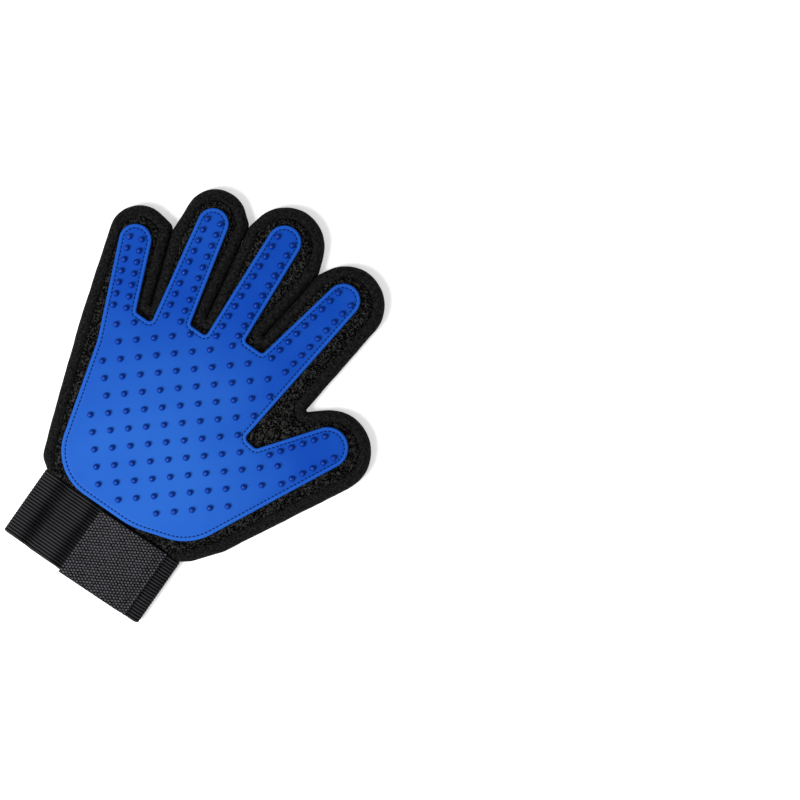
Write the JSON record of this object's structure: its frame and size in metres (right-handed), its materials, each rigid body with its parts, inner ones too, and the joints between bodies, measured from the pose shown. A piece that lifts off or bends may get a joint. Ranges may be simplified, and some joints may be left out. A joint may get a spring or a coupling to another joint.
{
  "type": "grooming glove",
  "caption": "Five-finger pet grooming glove with a nubbed rubber palm and finger strips, a mesh and knit body, and an elastic wrist band closed by a hook tab.",
  "frame": {"origin": "on the glove's flat back face, 100 mm from the wrist edge and midway across the wrist band", "axes": "+Y to the fingertips along the glove's length, +X to the thumb side, +Z out of the rubber palm face"},
  "size_m": [0.1887, 0.2335, 0.015],
  "materials": {
    "mesh": "coarse black air mesh, matt",
    "knit": "fine black knit, matt",
    "elastic": "ribbed black woven elastic",
    "hook_tape": "woven charcoal tape, hooks on its under face",
    "loop_pile": "soft brushed loop pile",
    "rubber": "soft blue rubber, satin"
  },
  "bodies": {
    "palm": {"back_panel": "mesh", "palm_panel": "mesh", "palm_rubber": "rubber", "outer_side_wall": "knit", "inner_side_wall": "knit", "web_wall": "knit", "pinky_ring_crotch": "knit", "ring_middle_crotch": "knit", "middle_index_crotch": "knit", "wrist_band": "elastic", "loop_patch": "loop_pile"},
    "pinky": {"pinky_back_panel": "mesh", "pinky_palm_panel": "mesh", "pinky_side_wall": "knit", "pinky_rubber": "rubber"},
    "ring": {"ring_back_panel": "mesh", "ring_palm_panel": "mesh", "ring_side_wall": "knit", "ring_rubber": "rubber"},
    "middle": {"middle_back_panel": "mesh", "middle_palm_panel": "mesh", "middle_side_wall": "knit", "middle_rubber": "rubber"},
    "index": {"index_back_panel": "mesh", "index_palm_panel": "mesh", "index_side_wall": "knit", "index_rubber": "rubber"},
    "thumb": {"thumb_back_panel": "mesh", "thumb_palm_panel": "mesh", "thumb_side_wall": "knit", "thumb_rubber": "rubber"},
    "tab": {"hook_tab": "hook_tape"}
  },
  "joints": [
    {"name": "pinky_bend", "type": "hinge", "parent": "palm", "child": "pinky", "pos_m": [-0.062, 0.03713, 0.0123], "axis": [0.9274, 0.3742, 0], "range_deg": [0, 60], "stiffness_Nm_per_rad": 0.004},
    {"name": "ring_bend", "type": "hinge", "parent": "palm", "child": "ring", "pos_m": [-0.03442, 0.04827, 0.0123], "axis": [0.9775, 0.2111, 0], "range_deg": [0, 60], "stiffness_Nm_per_rad": 0.004},
    {"name": "middle_bend", "type": "hinge", "parent": "palm", "child": "middle", "pos_m": [-0.00508, 0.06051, 0.0123], "axis": [0.998, 0.0633, 0], "range_deg": [0, 60], "stiffness_Nm_per_rad": 0.004},
    {"name": "index_bend", "type": "hinge", "parent": "palm", "child": "index", "pos_m": [0.02719, 0.06012, 0.0123], "axis": [0.9843, -0.1764, 0], "range_deg": [0, 60], "stiffness_Nm_per_rad": 0.004},
    {"name": "thumb_bend", "type": "hinge", "parent": "palm", "child": "thumb", "pos_m": [0.0631, 0.0182, 0.0123], "axis": [0.3102, -0.9507, 0], "range_deg": [0, 60], "stiffness_Nm_per_rad": 0.004},
    {"name": "tab_peel", "type": "hinge", "parent": "palm", "child": "tab", "pos_m": [0.0362, -0.081, 0.0122], "axis": [0, 1, 0], "range_deg": [0, 160]}
  ]
}
